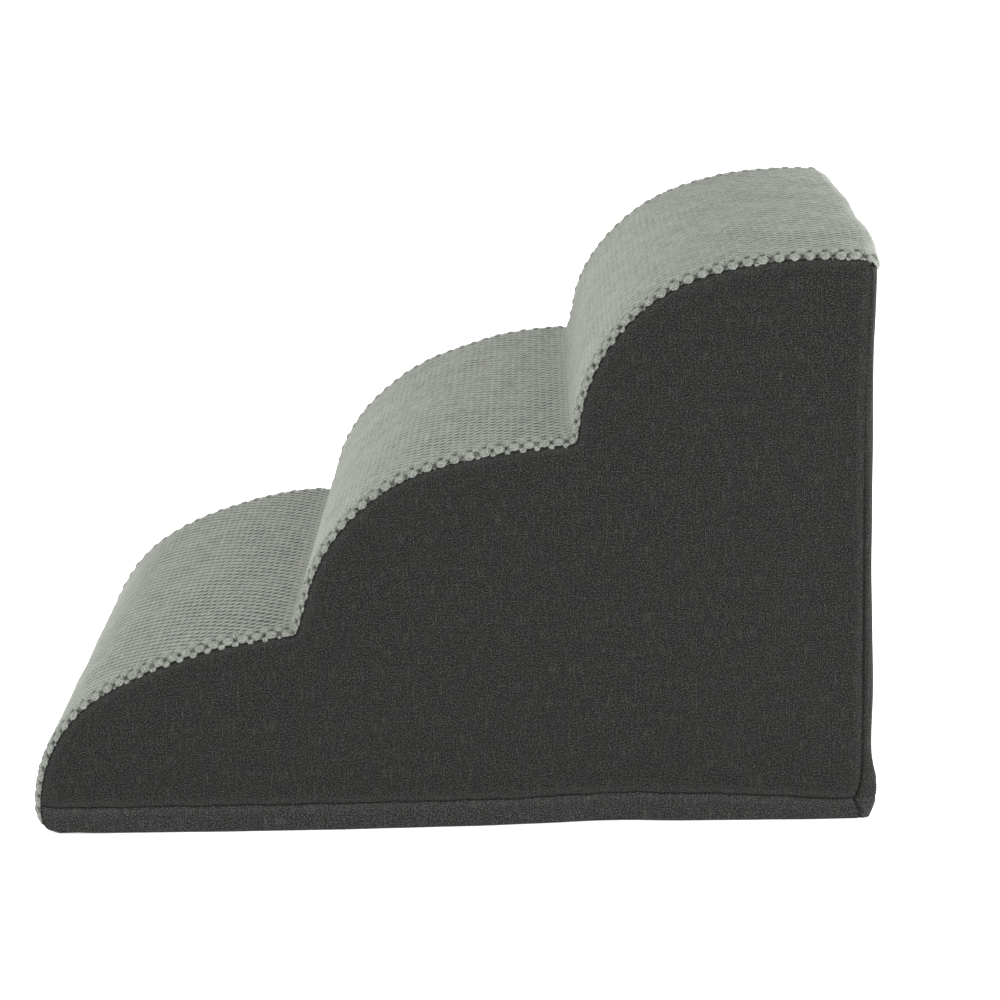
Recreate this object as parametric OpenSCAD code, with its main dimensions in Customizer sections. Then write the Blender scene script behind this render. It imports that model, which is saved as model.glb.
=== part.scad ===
// Three-step foam pet ramp in a zipped cover.
// Plush runs over the treads, woven cloth covers the sides, the back and a low base band.
// X runs from the low front (-X) to the tall back (+X), Y across the width, Z up.
// The origin is on the floor, at the middle of the footprint.

/* [Overall] */
// Length of the cloth cover, front to back
length = 600; // [590:1:610]
// Width across the two side panels
width = 400; // [300:5:500]

/* [Steps] */
// Distance of the second riser's foot behind the front
second_riser_x = 192; // [186:1:196]
// Height of each riser's foot above the floor, first step to third
riser_foot_z = [0, 149, 284]; // [0:1:300]
// Backward lean of each riser, in degrees
riser_lean = [0, 17, 8]; // [0:0.5:20]
// Straight part of each riser
riser_straight = [17, 30, 14]; // [2:0.5:32]
// Radius of the rounded nose of each step
nose_radius = [104, 135, 126]; // [100:0.5:140]
// Slope of the surface where the nose runs into the tread, in degrees
nose_end_slope = [29.5, 15.6, 13.7]; // [12:0.1:35]
// Radius of each crowned tread
tread_radius = [312, 403, 294]; // [260:1:420]
// Slope at the back end of each tread, in degrees
tread_end_slope = [2.7, 1.1, -6.2]; // [-7:0.1:7]
// Rounding of the top back edge
back_edge_radius = 8; // [8:0.5:20]

/* [Cover] */
// Thickness of the plush top panel
plush_t = 4; // [3:0.5:6]
// Thickness of the woven side, back and bottom cloth
cloth_t = 1.2; // [0.8:0.1:1.6]
// Width of a line of sewing thread in a seam
thread_w = 0.8; // [0.6:0.1:1]
// Height of the seam between the base band and the panels above it
band_seam_z = 18; // [14:1:24]
// How far the plush comes down the back
plush_back_drop = 4; // [4:1:14]

/* [Zip] */
// Length of the zip's opening
zip_length = 350; // [250:5:360]
// Height of the middle of the zip above the floor
zip_z = 22; // [22:0.5:24]
// Opening between the cloth edges beside the zip
zip_opening = 9.6; // [9.4:0.1:10]
// Width of one zip tape
tape_w = 11; // [9:0.5:12]
// Thickness of the zip tape
tape_t = 0.6; // [0.4:0.1:0.6]
// Diameter of one row of coil
coil_d = 2.2; // [2:0.1:2.3]
// Gap between the two rows of coil, where the slider's diamond runs
coil_gap = 1.8; // [1.8:0.1:2]
// Length of the slider
slider_length = 11; // [10:0.5:12]
// Width of the slider over its flanges
slider_w = 8.4; // [8.2:0.1:8.6]
// Length of the pull from its pin to its tip
pull_length = 26; // [20:1:28]
// Width of the pull
pull_w = 6.4; // [5:0.2:7]

/* [Hidden] */

$fn = 48;
arc_step = 4;                              // degrees of turn per facet of a step's outline
side_overlap = 20;                         // how far a tread runs on into the step behind it
riser_root = 8;                            // how far a riser runs on below its foot
front_x = -length / 2;
back_x = length / 2;
half_w = width / 2;
foam_half_w = half_w - cloth_t;
foam_back_x = back_x - cloth_t;
big = 2 * length;                          // larger than the whole ramp

plush_color = [0.62, 0.63, 0.61];
side_color = [0.225, 0.228, 0.215];
band_color = [0.245, 0.245, 0.245];
thread_color = [0.16, 0.16, 0.16];
foam_color = [0.86, 0.84, 0.76];
bottom_color = [0.10, 0.10, 0.10];
tape_color = [0.09, 0.09, 0.09];
metal_color = [0.55, 0.55, 0.56];

// ---- side outline of the steps ----
// A heading is the direction of travel along the outline in degrees: 90 is up, 0 is back.

// Headings where each arc of a step ends, from the riser's heading on
function headings(i) = i < 2
    ? [90 - riser_lean[i], nose_end_slope[i], tread_end_slope[i]]
    : [90 - riser_lean[i], nose_end_slope[i], tread_end_slope[i], -90];

function radii(i) = i < 2
    ? [nose_radius[i], tread_radius[i]]
    : [nose_radius[i], tread_radius[i], back_edge_radius];

function along(heading) = [cos(heading), sin(heading)];
function outward(heading) = [-sin(heading), cos(heading)];

// Travel along a clockwise arc from heading a to heading b
function arc_travel(radius, a, b) = radius * (outward(b) - outward(a));

// Travel over a whole step, from its riser's foot to its last arc's end
function step_travel(i, j = 0) = j == len(radii(i))
    ? riser_straight[i] * along(headings(i)[0])
    : arc_travel(radii(i)[j], headings(i)[j], headings(i)[j + 1]) + step_travel(i, j + 1);

function riser_foot(i) = [
    i == 0 ? front_x : i == 1 ? front_x + second_riser_x : back_x - step_travel(2)[0],
    riser_foot_z[i]
];

// Points of arc j and all later arcs of step i, starting from point p
function arc_points(i, j, p, grow) = j == len(radii(i)) ? [] : let (
    radius = radii(i)[j] + grow,
    a = headings(i)[j],
    b = headings(i)[j + 1],
    count = ceil((a - b) / arc_step),
    points = [for (k = [1 : count]) p + arc_travel(radius, a, a + (b - a) * k / count)]
) concat(points, arc_points(i, j + 1, points[count - 1], grow));

// Outline of one step, thickened outward by grow and closed well below the floor
function step_outline(i, grow) = let (
    up = headings(i)[0],
    last = headings(i)[len(headings(i)) - 1],
    foot = riser_foot(i) + grow * outward(up),
    root = foot - riser_root * along(up),
    top = foot + riser_straight[i] * along(up),
    arcs = arc_points(i, 0, top, grow),
    end = arcs[len(arcs) - 1] + side_overlap * along(last)
) concat([[root[0], -big], root, top], arcs, [end, [end[0], -big]]);

// The whole side outline, thickened outward by grow, above height z0
module profile(grow, z0) {
    intersection() {
        union() {
            for (i = [0 : 2]) {
                polygon(step_outline(i, grow));
            }
        }
        translate([-big / 2, z0]) square([big, big]);
    }
}

// Extrudes a side view (x, z) across the width, from y0 to y1
module across(y0, y1) {
    translate([0, y1, 0]) rotate([90, 0, 0]) linear_extrude(y1 - y0) children();
}

// A plain box between two corners
module block(low, high) {
    translate(low) cube(high - low);
}

// ---- heights and planes of the cover ----
base_thread_z = [cloth_t, cloth_t + thread_w];
band_thread_z = [band_seam_z - thread_w / 2, band_seam_z + thread_w / 2];
top_corner_z = riser_foot_z[2] + step_travel(2)[1];     // where the back edge's rounding ends
plush_back_z = top_corner_z - plush_back_drop;
zip_half = zip_length / 2;
slot_z = [zip_z - zip_opening / 2, zip_z + zip_opening / 2];

// Side view of the strip behind which the back panel and its seams lie
module back_strip() {
    translate([foam_back_x, 0]) square([cloth_t + plush_t + 1, plush_back_z]);
}

module side_panel_shape() {
    difference() {
        profile(-thread_w, band_thread_z[1]);
        back_strip();
    }
}

module band_shape() {
    intersection() {
        difference() {
            profile(-thread_w, base_thread_z[1]);
            back_strip();
        }
        translate([-big / 2, 0]) square([big, band_thread_z[0]]);
    }
}

module top_thread_shape() {
    difference() {
        profile(0, base_thread_z[1]);
        profile(-thread_w, 0);
        back_strip();
    }
}

module band_thread_shape() {
    intersection() {
        difference() {
            profile(-thread_w, band_thread_z[0]);
            back_strip();
        }
        translate([-big / 2, 0]) square([big, band_thread_z[1]]);
    }
}

// Puts a right-hand piece, which lies at -Y, on one side of the ramp: -1 is right, 1 is left
module on_side(side) {
    if (side < 0) {
        across(-half_w, -foam_half_w) children();
    } else {
        across(foam_half_w, half_w) children();
    }
}

// ---- foam ----
module foam_core() {
    groove_x = foam_back_x - cloth_t - 1;
    groove_half_z = tape_w + coil_gap / 2 + 0.6;
    color(foam_color) difference() {
        across(-foam_half_w, foam_half_w) difference() {
            profile(0, cloth_t);
            back_strip();
        }
        block([groove_x, -zip_half - 11, zip_z - groove_half_z],
              [back_x, zip_half + 11, zip_z + groove_half_z]);
    }
}

// ---- cloth panels ----
module top_panel() {
    color(plush_color) across(-half_w, half_w) difference() {
        profile(plush_t, base_thread_z[1]);
        profile(0, 0);
        translate([back_x - 1, 0]) square([plush_t + 2, plush_back_z]);
    }
}

module side_panel(side) {
    color(side_color) on_side(side) side_panel_shape();
}

module side_panel_left() {
    side_panel(1);
}

module side_panel_right() {
    side_panel(-1);
}

module back_panel() {
    color(side_color) difference() {
        block([foam_back_x, -foam_half_w, band_thread_z[1]],
              [back_x, foam_half_w, plush_back_z - thread_w]);
        block([foam_back_x - 1, -zip_half, 0], [back_x + 1, zip_half, slot_z[1]]);
    }
}

module base_band(side) {
    color(band_color) on_side(side) band_shape();
}

module base_band_left() {
    base_band(1);
}

module base_band_right() {
    base_band(-1);
}

module base_band_back() {
    color(band_color) difference() {
        block([foam_back_x, -foam_half_w, base_thread_z[1]], [back_x, foam_half_w, band_thread_z[0]]);
        block([foam_back_x - 1, -zip_half, slot_z[0]], [back_x + 1, zip_half, slot_z[1]]);
    }
}

module bottom_panel() {
    color(bottom_color) block([front_x - plush_t, -half_w, 0], [back_x, half_w, cloth_t]);
}

// ---- sewing thread in the seams ----
module thread_top(side) {
    color(thread_color) on_side(side) top_thread_shape();
}

module thread_top_left() {
    thread_top(1);
}

module thread_top_right() {
    thread_top(-1);
}

module thread_top_back() {
    color(thread_color) block([foam_back_x, -foam_half_w, plush_back_z - thread_w],
                              [back_x, foam_half_w, plush_back_z]);
}

// One upright corner seam at the back, between two heights
module corner_thread(side, z0, z1) {
    color(thread_color) on_side(side) translate([foam_back_x, z0]) square([cloth_t, z1 - z0]);
}

module thread_corner_left() {
    corner_thread(1, band_thread_z[1], plush_back_z);
}

module thread_corner_right() {
    corner_thread(-1, band_thread_z[1], plush_back_z);
}

module thread_band(side) {
    color(thread_color) on_side(side) band_thread_shape();
}

module thread_band_left() {
    thread_band(1);
}

module thread_band_right() {
    thread_band(-1);
}

// The band's seam on the back, in two runs beside the zip
module thread_band_back() {
    color(thread_color) for (side = [0, 1]) mirror([0, side, 0]) {
        block([foam_back_x, zip_half, band_thread_z[0]], [back_x, foam_half_w, band_thread_z[1]]);
    }
}

module thread_band_corners() {
    for (side = [-1, 1]) {
        corner_thread(side, base_thread_z[1], band_thread_z[1]);
    }
}

// The seam round the bottom panel's edge
module thread_base() {
    color(thread_color) difference() {
        block([front_x - plush_t, -half_w, base_thread_z[0]], [back_x, half_w, base_thread_z[1]]);
        block([front_x, -foam_half_w, 0], [foam_back_x, foam_half_w, band_seam_z]);
    }
}

// ---- zip ----
// Places a piece in the zip's own axes: X out of the back, Y along the zip, Z up from its middle
module at_zip() {
    translate([back_x, 0, zip_z]) children();
}

// Puts a piece of the upper half on the upper (0) or the lower (1) half of the zip
module zip_half_of(lower) {
    at_zip() mirror([0, 0, lower]) children();
}

coil_x = -cloth_t + coil_d / 2;            // middle of the coil, out from the cover's back face
coil_z = (coil_gap + coil_d) / 2;
stop_length = 1.8;
stop_t = coil_d + 0.3;
stitch_w = 0.6;
stitch_t = 0.3;
stitch_inset = 2;                          // from the cloth's edge to the row of stitching

module zip_tape(lower) {
    color(tape_color) zip_half_of(lower)
        block([-cloth_t - tape_t, -zip_half - 10, coil_gap / 2],
              [-cloth_t, zip_half + 10, coil_gap / 2 + tape_w]);
}

module zip_tape_upper() {
    zip_tape(0);
}

module zip_tape_lower() {
    zip_tape(1);
}

// Outer envelope of one row of nylon coil
module zip_coil(lower) {
    coil_half = zip_half - stop_length;
    color(tape_color) zip_half_of(lower) translate([coil_x, coil_half, coil_z])
        rotate([90, 0, 0]) cylinder(h = 2 * coil_half, d = coil_d);
}

module zip_coil_upper() {
    zip_coil(0);
}

module zip_coil_lower() {
    zip_coil(1);
}

// Two clips, one on each tape, at the end where the slider stops when the zip is closed
module zip_top_stops() {
    color(metal_color) for (lower = [0, 1]) zip_half_of(lower) {
        block([-cloth_t, zip_half - stop_length, coil_gap / 2],
              [-cloth_t + stop_t, zip_half, coil_gap / 2 + coil_d + 0.2]);
    }
}

// One clip across both tapes at the other end
module zip_bottom_stop() {
    half = coil_gap / 2 + coil_d + 0.2;
    color(metal_color) at_zip()
        block([-cloth_t, -zip_half, -half], [-cloth_t + stop_t, -zip_half + stop_length, half]);
}

module zip_stitch(lower) {
    row_z = zip_opening / 2 + stitch_inset;
    color(thread_color) zip_half_of(lower)
        block([0, -zip_half - 4, row_z], [stitch_t, zip_half + 4, row_z + stitch_w]);
}

module zip_stitch_upper() {
    zip_stitch(0);
}

module zip_stitch_lower() {
    zip_stitch(1);
}

plate_t = 1;                               // thickness of the slider's two plates
top_plate_x = -cloth_t + coil_d + 0.4;     // inner face of the outer plate
bottom_plate_x = -cloth_t - tape_t - 0.3;  // outer face of the inner plate
flange_t = 0.7;
flange_gap = 0.3;                          // between the flanges and the tape
tail_w = slider_w - 0.4;                   // width of the slider's tail end
tail_round = 1;                            // rounding of the tail's corners
diamond_w = coil_gap - 0.5;
diamond_length = 3;
slider_rest_y = zip_half - stop_length - slider_length / 2 - 0.7;
pin_y = 1;                                 // pull's pin, from the slider's middle
pin_r = 0.7;
pin_x = top_plate_x + plate_t + 1.5;
ear_r = 1.3;
ear_t = 1;
ear_gap = 3.6;                             // between the two ears
eye_bore_r = pin_r + 0.05;
pull_t = 1.2;
neck_w = ear_gap - 0.4;
neck_length = 5;

// A slider plate seen from outside, with Y across the page: wide and round where the rows part
module slider_plate_shape() {
    nose_r = slider_w / 2;
    translate([slider_length / 2 - nose_r, 0]) circle(nose_r);
    translate([-slider_length / 2 + tail_round, -tail_w / 2])
        square([slider_length - nose_r - tail_round, tail_w]);
    translate([-slider_length / 2, -tail_w / 2 + tail_round])
        square([2 * tail_round, tail_w - 2 * tail_round]);
    for (end = [-1, 1]) {
        translate([-slider_length / 2 + tail_round, end * (tail_w / 2 - tail_round)]) circle(tail_round);
    }
}

// Extrudes a shape drawn in (y, z) outward along X, from x0 to x1
module outward_of_back(x0, x1) {
    translate([x0, 0, 0]) rotate([90, 0, 90]) linear_extrude(x1 - x0) children();
}

module slider_ear() {
    translate([pin_x, pin_y, ear_gap / 2]) cylinder(h = ear_t, r = ear_r);
    block([top_plate_x + plate_t, pin_y - ear_r, ear_gap / 2], [pin_x, pin_y + ear_r, ear_gap / 2 + ear_t]);
}

// Outer plate with its flanges, inner plate, the diamond between them, and the pull's pin
module zip_slider() {
    flange_x = -cloth_t + flange_gap;
    flange_z = tail_w / 2;
    diamond_y = slider_length / 2 - diamond_length - 1;
    color(metal_color) at_zip() translate([0, slider_rest_y, 0]) {
        outward_of_back(top_plate_x, top_plate_x + plate_t) slider_plate_shape();
        outward_of_back(bottom_plate_x - plate_t, bottom_plate_x) slider_plate_shape();
        block([bottom_plate_x, diamond_y, -diamond_w / 2],
              [top_plate_x, diamond_y + diamond_length, diamond_w / 2]);
        for (lower = [0, 1]) mirror([0, 0, lower]) {
            block([flange_x, -slider_length / 2 + tail_round, flange_z - flange_t],
                  [top_plate_x, pin_y + ear_r, flange_z]);
            slider_ear();
        }
        translate([pin_x, pin_y, -ear_gap / 2]) cylinder(h = ear_gap, r = pin_r);
    }
}

// The pull, lying flat along the closed zip
module zip_pull() {
    finger_hole_r = pull_w / 2 - 1.6;
    tip_y = -pull_length + pull_w / 2;
    color(metal_color) at_zip() translate([pin_x, slider_rest_y + pin_y, 0]) difference() {
        union() {
            translate([0, 0, -neck_w / 2]) cylinder(h = neck_w, r = ear_r);
            outward_of_back(-pull_t / 2, pull_t / 2) difference() {
                union() {
                    translate([-neck_length - 1, -neck_w / 2]) square([neck_length + 1, neck_w]);
                    translate([tip_y, -pull_w / 2]) square([-neck_length - tip_y, pull_w]);
                    translate([tip_y, 0]) circle(pull_w / 2);
                }
                translate([tip_y, 0]) circle(finger_hole_r);
                translate([tip_y, -finger_hole_r]) square([8, 2 * finger_hole_r]);
                translate([tip_y + 8, 0]) circle(finger_hole_r);
            }
        }
        translate([0, 0, -neck_w]) cylinder(h = 2 * neck_w, r = eye_bore_r);
    }
}

foam_core();
top_panel();
side_panel_left();
side_panel_right();
back_panel();
base_band_left();
base_band_right();
base_band_back();
bottom_panel();
thread_top_left();
thread_top_right();
thread_top_back();
thread_corner_left();
thread_corner_right();
thread_band_left();
thread_band_right();
thread_band_back();
thread_band_corners();
thread_base();
zip_tape_upper();
zip_tape_lower();
zip_coil_upper();
zip_coil_lower();
zip_top_stops();
zip_bottom_stop();
zip_stitch_upper();
zip_stitch_lower();
zip_slider();
zip_pull();
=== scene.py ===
"""Looks of a three-step foam pet ramp in a zipped cover, built around its CAD frame.

X runs from the low front (-X) to the tall back (+X), Y across the width and Z up, in metres.
The side seen from the camera is the right side, at -Y.
"""

import math

import bmesh
import bpy
import numpy as np
from mathutils import Matrix, Vector
from mathutils.geometry import delaunay_2d_cdt


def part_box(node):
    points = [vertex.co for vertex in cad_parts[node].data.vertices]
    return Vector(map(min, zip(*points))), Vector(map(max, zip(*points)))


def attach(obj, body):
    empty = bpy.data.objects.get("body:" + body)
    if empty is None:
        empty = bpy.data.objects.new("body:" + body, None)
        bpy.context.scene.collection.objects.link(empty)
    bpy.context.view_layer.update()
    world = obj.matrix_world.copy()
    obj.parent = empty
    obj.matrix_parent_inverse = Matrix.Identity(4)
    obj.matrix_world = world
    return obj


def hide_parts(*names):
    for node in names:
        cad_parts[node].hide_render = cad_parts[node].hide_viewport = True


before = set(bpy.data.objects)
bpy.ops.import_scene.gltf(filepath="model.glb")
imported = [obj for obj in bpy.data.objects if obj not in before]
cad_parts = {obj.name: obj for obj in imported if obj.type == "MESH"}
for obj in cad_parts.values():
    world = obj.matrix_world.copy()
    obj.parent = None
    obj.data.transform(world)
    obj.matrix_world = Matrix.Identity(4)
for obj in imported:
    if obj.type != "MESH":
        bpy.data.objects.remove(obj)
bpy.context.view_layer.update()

MM = 0.001
COVER = "cover"


# ---------------------------------------------------------------- camera

def make_camera(place, pitch, yaw, roll, lens):
    """A camera looking along +Y, pitched down, with its yaw and roll in degrees."""
    pitch, yaw, roll = (math.radians(a) for a in (pitch, yaw, roll))
    ahead = Vector((math.sin(yaw) * math.cos(pitch), math.cos(yaw) * math.cos(pitch), -math.sin(pitch)))
    level = Vector((math.cos(yaw), -math.sin(yaw), 0))
    above = level.cross(ahead)
    right = math.cos(roll) * level + math.sin(roll) * above
    up = -math.sin(roll) * level + math.cos(roll) * above
    data = bpy.data.cameras.new("camera")
    data.sensor_width = 36
    data.lens = lens
    camera = bpy.data.objects.new("camera", data)
    rows = [(right[i], up[i], -ahead[i], place[i]) for i in range(3)]
    camera.matrix_world = Matrix(rows + [(0, 0, 0, 1)])
    bpy.context.scene.collection.objects.link(camera)
    bpy.context.scene.camera = camera


make_camera(place=(0.0734, -2.1084, 0.7605), pitch=15.12, yaw=-1.02, roll=-1.57, lens=101.3)


# ---------------------------------------------------------------- small maths

def smoothstep(a, b, x):
    """0 at a, 1 at b, smooth between; a may be above b."""
    t = np.clip((x - a) / (b - a), 0, 1)
    return t * t * (3 - 2 * t)


def bell(x, middle, width):
    return np.exp(-((x - middle) / width) ** 2)


def quarter_round(share):
    """How far a rounded edge has dropped, from 0 where it starts to 1 at its foot."""
    return 1 - np.sqrt(np.clip(1 - share ** 2, 0, 1))


def unit(v):
    return v / np.maximum(np.linalg.norm(v, axis=-1, keepdims=True), 1e-12)


def ripple(u, v, wavelength, seed):
    """Soft unevenness between about -1 and 1, from a few crossing waves."""
    random = np.random.RandomState(seed)
    total = 0
    for k in range(5):
        angle = random.uniform(0, math.pi)
        length = wavelength * random.uniform(0.7, 1.6)
        phase = random.uniform(0, 2 * math.pi)
        total = total + np.sin(2 * math.pi * (u * math.cos(angle) + v * math.sin(angle)) / length + phase)
    return total / 3


def chance(a, b, seed):
    """A steady random number from 0 to 1 for each pair of whole numbers."""
    x = np.sin(a * 127.1 + b * 311.7 + seed * 74.7) * 43758.5453
    return x - np.floor(x)


def travelled(points):
    steps = np.linalg.norm(np.diff(points, axis=0), axis=1)
    return np.concatenate([[0], np.cumsum(steps)])


def smooth_line(points, step):
    """Evenly spaced points on a smooth curve through the given points."""
    at = travelled(points)
    slopes = np.gradient(points, at, axis=0)
    count = max(3, int(round(at[-1] / step)) + 1)
    t = np.linspace(0, at[-1], count)
    k = np.clip(np.searchsorted(at, t, side="right") - 1, 0, len(points) - 2)
    gap = (at[k + 1] - at[k])[:, None]
    u = (t - at[k])[:, None] / gap
    start = (1 + 2 * u) * (1 - u) ** 2 * points[k] + u * (1 - u) ** 2 * gap * slopes[k]
    end = u * u * (3 - 2 * u) * points[k + 1] + u * u * (u - 1) * gap * slopes[k + 1]
    return start + end


# ---------------------------------------------------------------- side outline, from the frame

CORNER_ROUND = 6 * MM       # round of the cloth in the corner between a tread and the next riser
FOOT_ROUND = 14 * MM        # round of the front bottom edge
FOOT_GAP = 0.6 * MM         # height of the cloth edge above the floor


def end_face_line(node):
    """Outer line (x, z) of a node's right-hand end face, from its front foot to its back end."""
    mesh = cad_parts[node].data
    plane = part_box(node)[0].y + 0.01 * MM
    flat = {v.index: (round(v.co.x, 6), round(v.co.z, 6)) for v in mesh.vertices if v.co.y < plane}
    uses = {}
    for polygon in mesh.polygons:
        ring = [flat.get(i) for i in polygon.vertices]
        if None in ring:
            continue
        for a, b in zip(ring, ring[1:] + ring[:1]):
            edge = frozenset((a, b))
            uses[edge] = uses.get(edge, 0) + 1
    linked = {}
    for edge, count in uses.items():
        if count == 1 and len(edge) == 2:
            a, b = edge
            linked.setdefault(a, []).append(b)
            linked.setdefault(b, []).append(a)
    back = max(p[0] for p in linked)
    last = (back, min(p[1] for p in linked if p[0] == back))
    walk = [min(linked, key=lambda p: (p[1], p[0]))]
    walk.append(max(linked[walk[0]], key=lambda p: p[1]))
    while walk[-1] != last:
        walk.append(next(p for p in linked[walk[-1]] if p != walk[-2]))
    return np.array(walk)


def split_at_inward_corners(points, sharp=math.radians(12)):
    steps = np.diff(points, axis=0)
    heading = np.unwrap(np.arctan2(steps[:, 1], steps[:, 0]))
    corners = [i + 1 for i in range(len(heading) - 1) if heading[i + 1] - heading[i] > sharp]
    ends = [0] + corners + [len(points) - 1]
    return [points[a:b + 1] for a, b in zip(ends, ends[1:])]


def join_rounded(stretches, radius):
    """Joins the stretches with a small round in each inward corner."""
    joined = stretches[0]
    for stretch in stretches[1:]:
        corner = stretch[0]
        before = unit(joined[-1] - joined[-2])
        after = unit(stretch[1] - stretch[0])
        turn = math.acos(float(np.clip(before @ after, -1, 1)))
        reach = radius * math.tan(turn / 2)
        head = joined[np.linalg.norm(joined - corner, axis=1) > reach]
        tail = stretch[np.linalg.norm(stretch - corner, axis=1) > reach]
        t = np.linspace(0, 1, 11)[1:-1, None]
        bend = (1 - t) ** 2 * head[-1] + 2 * t * (1 - t) * corner + t * t * tail[0]
        joined = np.concatenate([head, bend, tail])
    return joined


def round_foot(points):
    """Adds the front bottom edge, rounded under to the floor."""
    front = points[0][0]
    centre = np.array([front + FOOT_ROUND, FOOT_GAP + FOOT_ROUND])
    turn = np.linspace(math.pi / 2, 0, 16)[:, None]
    arc = centre - FOOT_ROUND * np.concatenate([np.cos(turn), np.sin(turn)], axis=1)
    return np.concatenate([arc, points[points[:, 1] > centre[1] + 0.5 * MM]])


class Outline:
    """The side-view line of the top seam: places, outward directions and distance along it."""

    def __init__(self, step):
        stretches = split_at_inward_corners(end_face_line("thread_top_right"))
        fine = [smooth_line(stretch, 0.5 * MM) for stretch in stretches]
        self.corners = [s[0] for s in fine[1:]]
        self.places = smooth_line(round_foot(join_rounded(fine, CORNER_ROUND)), step)
        self.along = travelled(self.places)
        self.length = self.along[-1]
        tangent = unit(np.gradient(self.places, self.along, axis=0))
        self.outward = np.stack([-tangent[:, 1], tangent[:, 0]], axis=1)
        near = [np.argmin(np.linalg.norm(self.places - c, axis=1)) for c in self.corners]
        self.corner_at = self.along[near]

    def at(self, s):
        """Places and outward directions at distances s, which may be an array of any shape."""
        place = [np.interp(s, self.along, self.places[:, i]) for i in (0, 1)]
        outward = [np.interp(s, self.along, self.outward[:, i]) for i in (0, 1)]
        return np.stack(place, axis=-1), unit(np.stack(outward, axis=-1))

    def softened(self, s, share, radius=11 * MM):
        """As at(), but drawn towards a smoothed line by a share, so that the inward corners open out."""
        place, outward = self.at(s)
        reach = np.arange(-2.2, 2.3, 0.2) * radius
        weight = bell(reach, 0, radius)
        nearby = [self.at(self.along + r) for r in reach]
        for values, item in ((place, 0), (outward, 1)):
            smooth = sum(w * near[item] for w, near in zip(weight, nearby)) / weight.sum()
            for i in (0, 1):
                values[..., i] += share * (np.interp(s, self.along, smooth[:, i]) - values[..., i])
        return place, unit(outward)

    def step_share(self, s):
        """Which step each distance is on, and how far along that step from 0 to 1."""
        ends = np.concatenate([[0], self.corner_at, [self.length]])
        step = np.clip(np.searchsorted(ends, s, side="right") - 1, 0, 2)
        return step, (s - ends[step]) / (ends[step + 1] - ends[step])


outline = Outline(1.25 * MM)
HALF_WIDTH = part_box("side_panel_left")[1].y
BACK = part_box("back_panel")[1].x
FRONT = float(outline.places[:, 0].min())
TOP_SEAM_BACK_Z = float(outline.places[-1, 1])
ZIP_Z = (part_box("zip_coil_lower")[0].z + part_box("zip_coil_upper")[1].z) / 2
ZIP_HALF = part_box("zip_top_stops")[1].y
SLOT_HALF = ZIP_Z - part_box("zip_stitch_lower")[1].z - 2 * MM


# ---------------------------------------------------------------- shape of the stuffed cover

# Foam unevenness from the right side to the left: how much each step rises, and how much less full
# its nose and the foot of its riser are
LEFT_RISE = (3.0 * MM, 0.4 * MM, 0.4 * MM)
LEFT_NOSE_LOSS = (3.0 * MM, 6.2 * MM, 5.8 * MM)
LEFT_NOSE_AT = (0.30, 0.46, 0.38)
LEFT_NOSE_WIDTH = (0.13, 0.30, 0.36)
LEFT_FOOT_LOSS = (0.0, 2.2 * MM, 2.6 * MM)


def far_lift(s, y):
    """How much each step stands higher or lower towards the left side."""
    step, share = outline.step_share(s)
    share = np.clip(share, 0, 1)
    rise, loss, middle, width = (np.array(v)[step] for v in
                                 (LEFT_RISE, LEFT_NOSE_LOSS, LEFT_NOSE_AT, LEFT_NOSE_WIDTH))
    arch = np.sin(np.pi * share)
    lift = rise * arch ** 0.6 - loss * bell(share, middle, width) * arch ** 0.3
    lift = lift - np.array(LEFT_FOOT_LOSS)[step] * bell(share, 0.06, 0.07) * smoothstep(0, 0.03, share)
    return lift * smoothstep(-HALF_WIDTH, HALF_WIDTH, y)


def seam_line(s, side):
    """Places (x, z) of the top seam on one side: -1 is right, 1 is left."""
    place, outward = outline.at(s)
    return place + outward * far_lift(s, np.full(np.shape(s), side * HALF_WIDTH))[..., None]


def back_swell(y, scallop=1.0 * MM):
    """How far the top back edge bulges backwards, with three soft scallops across the width."""
    share = np.clip(np.abs(y) / HALF_WIDTH, 0, 1)
    full = 6.0 * MM * (1 - share ** 5)
    return full + scallop * np.cos(2 * np.pi * (y - 46 * MM) / (146 * MM)) * (1 - share ** 4)


def side_bow(x, z):
    """How far the foot of a side leans out of its plane along the length."""
    bow = 3.0 * MM * bell(x, -0.10, 0.13) - 4.6 * MM * bell(x, 0.11, 0.045)
    bow = bow + 2.0 * MM * smoothstep(0.17, 0.28, x)
    return bow * np.exp(-z / 0.035)


def band_seam_z(x):
    """Height of the seam above the base band, which wanders a little."""
    lift = 2.4 * MM * bell(x, 0.125, 0.06) - 4.2 * MM * smoothstep(0.19, 0.288, x)
    front = 3.4 * MM * np.exp(-(x - FRONT) / (7 * MM))
    return 20.6 * MM + lift + front + 0.25 * MM * np.sin(x / (9 * MM)) + 0.2 * MM * np.sin(x / (4.1 * MM))


def corner_seam_x(z):
    """Place of the upright back corner seam on a side face."""
    x = 295 * MM + 4.0 * MM * smoothstep(0.30, 0.403, z)
    pull = 6.0 * MM * np.exp(-np.maximum(z - 16 * MM, 0) / (11 * MM)) * (z >= 16 * MM)
    tail = 6.0 * MM * (1 - 0.68 * smoothstep(16 * MM, 6 * MM, z)) * (z < 16 * MM)
    return x - pull - tail


# Height of the band seam where it meets the corner seams
CORNER_SEAM_Z = float(band_seam_z(corner_seam_x(np.array(18 * MM))))


def corner_fade(z):
    """How far the corner seam has pulled flat, near the top of the back."""
    return smoothstep(0.22, 0.31, z)


def corner_x(z):
    """Backmost line of the rounded back corner."""
    belly = 4.4 * MM * bell(z, 22 * MM, 19 * MM) + 1.5 * MM * bell(z, 0.10, 0.045)
    return BACK + 1.3 * MM + belly + 1.6 * MM * smoothstep(0.33, 0.40, z)


# ---------------------------------------------------------------- mesh helpers

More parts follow.
